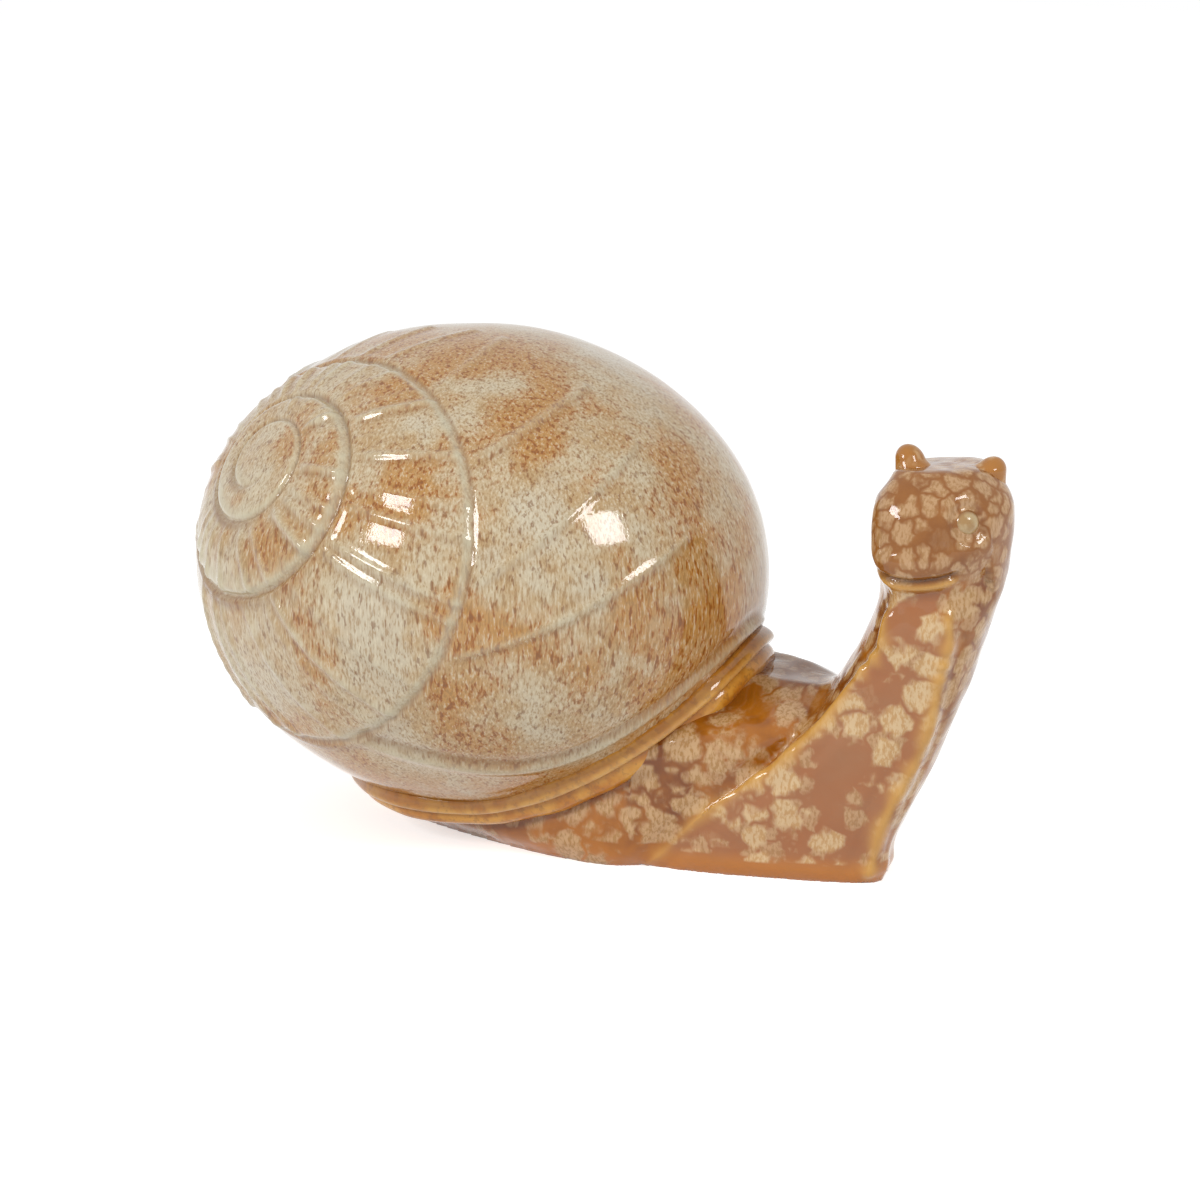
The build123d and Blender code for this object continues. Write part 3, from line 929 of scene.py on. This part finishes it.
def broad_shapes(points, normals):
    """Rise of the broad shapes, and the strength of the groove under the lip, which also sets the painted
    shade under it.
    """
    along, back = on_chest(points)
    height = points[:, 2]
    share = globe_share(points)
    rise = sum(tall * unevenness(points, size, seed) for tall, size, seed in body_wobbles)
    rise += belly_rise * soft_step(height, *belly_levels) * (along > belly_end)
    sides = 1 - soft_step(along, *crown_left) + soft_step(along, *crown_right)
    rise -= crown_bevel * soft_step(height, *crown_levels) * sides
    from_saddle = np.linalg.norm(points[:, :2] - saddle, axis=1)
    rise -= saddle_depth * bell(from_saddle, saddle_size) * soft_step(height, *saddle_levels)
    above, _ = above_lip(points, normals)
    seam = bell(above + seam_under_lip, seam_width)
    seam *= bell((share - 1) * shell_reach - seam_off_globe, seam_globe_width)
    rise -= seam_depth * seam
    hem = bell(height - hem_level, hem_width) * (share > hem_off_globe)
    hem *= (1 - np.abs(normals[:, 2])) * (back > hem_front)
    rise += hem_rise * hem * (1 + hem_wobble * unevenness(points, hem_wobble_size, 13))
    return rise, seam


# %% [markdown]
# The two fringe ridges of the chest are pinched up between finger and thumb, so they are lumpy
# and run a little wavy up the corners of the neck. Each is a bell of the distance from its line,
# with a shallow groove beside it, and its lumps are a sine along the line.

# %% Fringe ridges of the chest
ridge_height, ridge_width, ridge_top_share = 1.2, 1.7, 0.76
ridge_samples, ridge_sway, ridge_waves = 260, 0.7, 17
ridge_lump, ridge_lumps, ridge_groove = 0.3, 9, (0.5, 4.2, 1.6)
ridge_foot, ridge_end, golden_share = (0.0, 0.04), (0.95, 1.0), 0.9
left_column, right_column = 0, 2


def fringe_line(column):
    """Path of a chest ridge up one corner of the neck's levels, wavy like a pinched edge."""
    top = [share <= ridge_top_share for share, _ in neck_level_shares]
    line = curve_through(neck_levels[top][:, column], ridge_samples)
    sway = ridge_sway * np.sin(np.linspace(0, ridge_waves, ridge_samples))
    return line + sway[:, None] * np.append(chest_along, 0)


def nearest_on(points, line):
    """Distance from each point to a line of samples, and how far along the line, as a share."""
    best = np.full(len(points), np.inf)
    share = np.zeros(len(points))
    for step, sample in enumerate(line):
        distance = np.linalg.norm(points - sample, axis=1)
        share = np.where(distance < best, step / (len(line) - 1), share)
        best = np.minimum(best, distance)
    return best, share


def fringe_ridges(points):
    """Rise of the two ridges, and the mask where their glaze is thin and golden."""
    rise, golden = np.zeros(len(points)), np.zeros(len(points))
    for column, shift in ((left_column, 21), (right_column, 22)):
        distance, share = nearest_on(points, fringe_line(column))
        wave = 2 * np.pi * ridge_lumps * share + shift + 2 * np.sin(ridge_waves * share)
        lumps = 1 + ridge_lump * np.sin(wave)
        fade = soft_step(share, *ridge_foot) * (1 - soft_step(share, *ridge_end))
        rise += fade * (ridge_height * lumps * bell(distance, ridge_width))
        rise -= fade * profile(distance, ridge_groove)
        golden = np.maximum(golden, fade * bell(distance, golden_share * lumps * ridge_width))
    return rise, golden


for column in (left_column, right_column):
    steps = np.linalg.norm(np.diff(fringe_line(column), axis=0), axis=1)
    print("length of a fringe ridge:", round(steps.sum()), "mm")

# %% [markdown]
# The mouth is one stroke of a wooden tool across the front of the head, with the lower lip
# pushed up below it, a hollow under the chin and a snout above. Round each eye the clay is
# pressed in where the bead was set, which leaves a ring.

# %% Mouth and eye hollows
mouth_level, mouth_middle, mouth_half, mouth_bow, mouth_fade = 80.9, 12.5, 9.5, 1.6, 2.5
front_facing, face_bottom, face_left, face_right = (0.1, 0.5), 60, -2, 30
# Height, level over the mouth and width of each bump, in mm
mouth_stroke, lower_lip = (-1.5, 0.0, 0.8), (0.5, -1.9, 0.9)
chin_hollow, snout = (-2.0, -6.0, 4.2), (0.9, 4.0, 3.2)
eye_hollow = (-0.9, 0.5, 1.0), (0.3, 3.2, 2.4)
eye_sink, eye_radius = {"left": 2.3, "right": 2.9}, 3.6
head_axis = neck_corner + neck_width * (0.52 * chest_along + 0.12 * chest_back)


def eye_place(side):
    """Middle of an eye, sunk into the face from the frame's bead, and its outward direction."""
    middle, _ = node_box(f"eye_{side}")
    outward = unit(np.append(middle[:2] - head_axis, 0))
    return middle - outward * eye_sink[side], outward


def face_details(points, facing):
    """Rise of mouth, chin, snout and eye hollows, with the mask of the stroke, which carries its painted
    shade, and of the lip.
    """
    along, _ = on_chest(points)
    height = points[:, 2]
    front = soft_step(facing, *front_facing) * (height > face_bottom)
    front *= (along > face_left) * (along < face_right)
    off_middle = along - mouth_middle
    over = height - mouth_level - mouth_bow * (off_middle / mouth_half) ** 2
    stroke = front * (1 - soft_step(np.abs(off_middle), mouth_half, mouth_half + mouth_fade))
    rise = stroke * profile(over, mouth_stroke, lower_lip) + front * profile(over, chin_hollow, snout)
    for side in ("left", "right"):
        from_eye = np.linalg.norm(points - eye_place(side)[0], axis=1) - eye_radius
        rise += profile(from_eye, *eye_hollow)
    return rise, stroke * bell(over, 0.7), stroke * bell(over + 1.9, 0.9)


print("eyes at", [eye_place(side)[0].round(1).tolist() for side in ("left", "right")], "mm")

# %% [markdown]
# At last the steps are added up, the shell's seat is cut by moving every point inside the globe
# onto its face, and the sole is pressed flat. The masks tell the glaze where the chest, the
# nape, the sole's edge and the ridges are, and where the mouth stroke and the seam under the lip
# get a brown painted shade.

# %% Make the body
sole_flat, sole_edge_levels, nape_levels, head_levels = 0.6, (2.0, 8.0), (26, 44), (78, 84)
chest_side, chest_facing, chest_top = (-1, 2), (-0.1, 0.3), (74, 82)


def chest_share(points, facing):
    """One between the two fringe ridges on the front, and zero round them."""
    along, _ = on_chest(points)
    height = points[:, 2]
    left, right = (
        np.interp(height, line[:, 2], on_chest(line)[0])
        for line in (fringe_line(left_column), fringe_line(right_column))
    )
    inside = soft_step(along - left, *chest_side) * soft_step(right - along, *chest_side)
    return inside * soft_step(facing, *chest_facing) * (1 - soft_step(height, *chest_top))


def worked(points, normals):
    """Lifts the skin along its normals and returns the new places with the masks."""
    height = points[:, 2]
    facing = -(normals[:, :2] @ chest_back)
    rise, seam = broad_shapes(points, normals)
    ridges, golden = fringe_ridges(points)
    face, stroke, lower = face_details(points, facing)
    moved = points + normals * (rise + ridges + face)[:, None]
    share = globe_share(points)
    cup = shell_middle + (points - shell_middle) / share[:, None]
    moved[share < 1] = cup[share < 1]
    moved[:, 2] = np.where(height < sole_flat, 0, np.maximum(moved[:, 2], 0))
    nape = 0.9 * soft_step(height, *nape_levels) * (1 - soft_step(facing, *front_facing))
    masks = {
        "fringe": np.clip(golden + lower, 0, 1),
        # Painted shade in the mouth stroke and in the seam under the lip
        "groove_shade": np.clip(stroke + 0.8 * seam, 0, 1),
        "edge": 1 - soft_step(height, *sole_edge_levels),
        "chest": chest_share(points, facing),
        "dense": np.clip(nape + soft_step(height, *head_levels), 0, 1),
    }
    return moved, masks


def make_body():
    """Blended skin, worked once."""
    piece = blended_skin()
    points, normals = read_points(piece.data)
    moved, masks = worked(points, normals)
    piece.data.vertices.foreach_set("co", (moved * MM).ravel())
    piece.data.update()
    paint(piece, **masks)
    return piece


body = make_body()
hand_over(body, body_glaze, "body_glaze", "body_casting")

# %% [markdown]
# ## Horns
# The horns are short stubs pinched out of the crown: they taper, lean inwards a little, flare
# into the crown and end round. A cone with a bevel would look turned, so the radius is a
# function of the height and, at the crown, of the angle too.

# %% Make the horns
horn_root, horn_tip, horn_flare, horn_flare_height = 4.1, 3.4, 1.5, 1.5
horn_lean, horn_round_share, horn_rows, horn_columns = 0.9, 0.32, 60, 64
horn_inward = {"left": -chest_along, "right": chest_along}
horn_masks = {"fringe": 0.2, "groove_shade": 0.0, "edge": 0.4, "chest": 0.0, "dense": 0.6}


def make_horn(side):
    """Radius over height: it tapers, flares at the crown towards its middle, and ends round."""
    middle, half = node_box(f"horn_{side}")
    share = np.linspace(0, 1, horn_rows)
    level = middle[2] - half[2] + 2 * half[2] * share
    radius = horn_root + (horn_tip - horn_root) * share
    turn = np.arange(horn_columns) / horn_columns * 2 * np.pi
    ring = np.stack([np.cos(turn), np.sin(turn)], axis=-1)
    inward = (1 + ring @ horn_inward[side]) / 2
    flare = horn_flare * bell(level - head_top, horn_flare_height)[:, None] * inward
    tip = 1 - np.clip((share - 1 + horn_round_share) / horn_round_share, 0, 1) ** 2
    radius = (radius[:, None] + flare) * np.sqrt(np.maximum(tip, 0.002))[:, None]
    flat = middle[:2] + ring[None] * radius[..., None]
    flat = flat - horn_lean * (share**2)[:, None, None] * horn_inward[side]
    grid = np.concatenate([flat, np.broadcast_to(level[:, None, None], flat.shape[:2] + (1,))], axis=-1)
    points, faces = capped_grid(grid)
    piece = make_mesh(f"horn_{side}_glazed", points, faces)
    paint(piece, **{name: np.full(len(points), value) for name, value in horn_masks.items()})
    return piece


for side in ("left", "right"):
    hand_over(make_horn(side), body_glaze, "body_glaze", f"horn_{side}")

# %% [markdown]
# ## Eyes
# The eyes are beads of clay set into the face, of which only a low dome shows. A UV sphere
# would do, but a ball over the angle from its outward axis has its pole on the dome, so the
# brown rim is simply a step of that angle.

# %% Make the eyes
eye_rows, eye_columns = 40, 56
rim_start, rim_end = 0.75, 1.15


def make_eye(side):
    """Ball over the angle from its outward axis, with a rim painted near the skin."""
    middle, outward = eye_place(side)
    sideways = np.cross(UP, outward)
    turns = np.arange(eye_columns) / eye_columns * 2 * np.pi
    tilt, around = np.meshgrid(np.linspace(0, np.pi, eye_rows + 2)[1:-1], turns, indexing="ij")
    ring = sideways * np.cos(around)[..., None] + UP * np.sin(around)[..., None]
    direction = outward * np.cos(tilt)[..., None] + ring * np.sin(tilt)[..., None]
    points, faces = capped_grid(middle + eye_radius * direction)
    piece = make_mesh(f"eye_{side}_glazed", points, faces)
    paint(piece, rim=np.append(soft_step(tilt, rim_start, rim_end).ravel(), [0, 1]))
    return piece


for side in ("left", "right"):
    hand_over(make_eye(side), eye_glaze, "eye_glaze", f"eye_{side}")

# %% [markdown]
# ## Studio
# The figurine stands in a white tent on white paper. A brighter world would turn the paper
# white, but it would bleach the glaze too. So the world and the paper are white only to the
# camera and to what is seen in or through a surface, and light the object at a plain level.

# %% World
world_light = 0.44


def shows_white(tree):
    """One for camera, glossy and transmission rays, and zero for light that falls on things."""
    camera_ray = add_node(tree, "LightPath", output="Is Camera Ray")
    rays = camera_ray.node.outputs
    seen = {0: camera_ray, 1: rays["Is Glossy Ray"]}
    seen = {0: add_node(tree, "Math", seen, operation="MAXIMUM"), 1: rays["Is Transmission Ray"]}
    return add_node(tree, "Math", seen, operation="MAXIMUM")


world = bpy.data.worlds.new("White_tent")
world.use_nodes = True
bpy.context.scene.world = world
tent = world.node_tree
light = {"Value": shows_white(tent), "To Min": world_light, "To Max": 1.0}
background = tent.nodes["Background"].inputs
tent.links.new(add_node(tent, "MapRange", light, "Result"), background["Strength"])
background["Color"].default_value = (1, 1, 1, 1)
print("the world lights the object at", world_light)

# %% [markdown]
# The paper is matt and nearly white, and it keeps the figurine's shadow: only a little glow is
# added to it for the rays that see it, which brings its lit part up to the white of the tent.

# %% White paper under the figurine
paper_half, paper_colour, paper_lift = 3.0, "#EFEFEF", 0.62
corners = [(-paper_half, -paper_half, 0), (paper_half, -paper_half, 0)]
corners += [(paper_half, paper_half, 0), (-paper_half, paper_half, 0)]
floor_mesh = bpy.data.meshes.new("floor")
floor_mesh.from_pydata(corners, [], [(0, 1, 2, 3)])
floor = bpy.data.objects.new("floor", floor_mesh)
bpy.context.scene.collection.objects.link(floor)
paper = bpy.data.materials.new("White_paper")
paper.use_nodes = True
tree = paper.node_tree
tree.nodes.remove(tree.nodes["Principled BSDF"])
matt = add_node(tree, "BsdfDiffuse", {"Color": linear(paper_colour)})
lift = add_node(tree, "Math", {0: shows_white(tree), 1: paper_lift}, operation="MULTIPLY")
glow = add_node(tree, "Emission", {"Strength": lift})
sheet = add_node(tree, "AddShader", {0: matt, 1: glow})
tree.links.new(sheet, tree.nodes["Material Output"].inputs["Surface"])
floor_mesh.materials.append(paper)
print("the paper is", 2 * paper_half, "m wide")

# %% [markdown]
# Two square soft boxes make the bright panes on the glaze. A lamp's reflection is easier to
# place than the lamp: each box stands in a given direction from the place on the shell where
# its pane should lie. The camera looks down a little on the right side of the figurine, through
# a long lens, as in a product photograph.

# %% Soft boxes
box_distance, box_side = 1.2, 0.34


def aimed(place, target):
    """Turn that points an object's -Z from a place to a target."""
    return (Vector(target) - Vector(place)).to_track_quat("-Z", "Y").to_euler()


def soft_box(name, lit_place, direction, watts):
    """Square lamp seen in the given direction from the place in mm where its reflection lies."""
    lamp = bpy.data.lights.new(name, "AREA")
    lamp.shape = "SQUARE"
    lamp.size = box_side
    lamp.energy = watts
    box = bpy.data.objects.new(name, lamp)
    box.location = np.array(lit_place) * MM + unit(np.array(direction)) * box_distance
    box.rotation_euler = aimed(box.location, shell_middle * MM)
    bpy.context.scene.collection.objects.link(box)
    print(name, "at", [round(value, 2) for value in box.location], "m")


soft_box("left_box", (-5, -58, 93), (-0.29, -0.84, 0.45), watts=6)
soft_box("right_box", (38, -26, 91), (0.79, -0.1, 0.57), watts=5)

# %% Camera
camera_target = np.array([-2.35, 12.5, 61.7]) * MM
camera_azimuth, camera_elevation, camera_distance = math.radians(40), math.radians(12), 1.04
camera_direction = np.array([
    math.sin(camera_azimuth) * math.cos(camera_elevation),
    -math.cos(camera_azimuth) * math.cos(camera_elevation),
    math.sin(camera_elevation),
])
lens = bpy.data.cameras.new("camera")
lens.lens = 120
lens.sensor_width = 36
camera = bpy.data.objects.new("camera", lens)
camera.location = camera_target + camera_distance * camera_direction
camera.rotation_euler = aimed(camera.location, camera_target)
bpy.context.scene.collection.objects.link(camera)
bpy.context.scene.camera = camera
bpy.context.scene.view_settings.view_transform = "Standard"
print("camera at", [round(value, 2) for value in camera.location], "m")
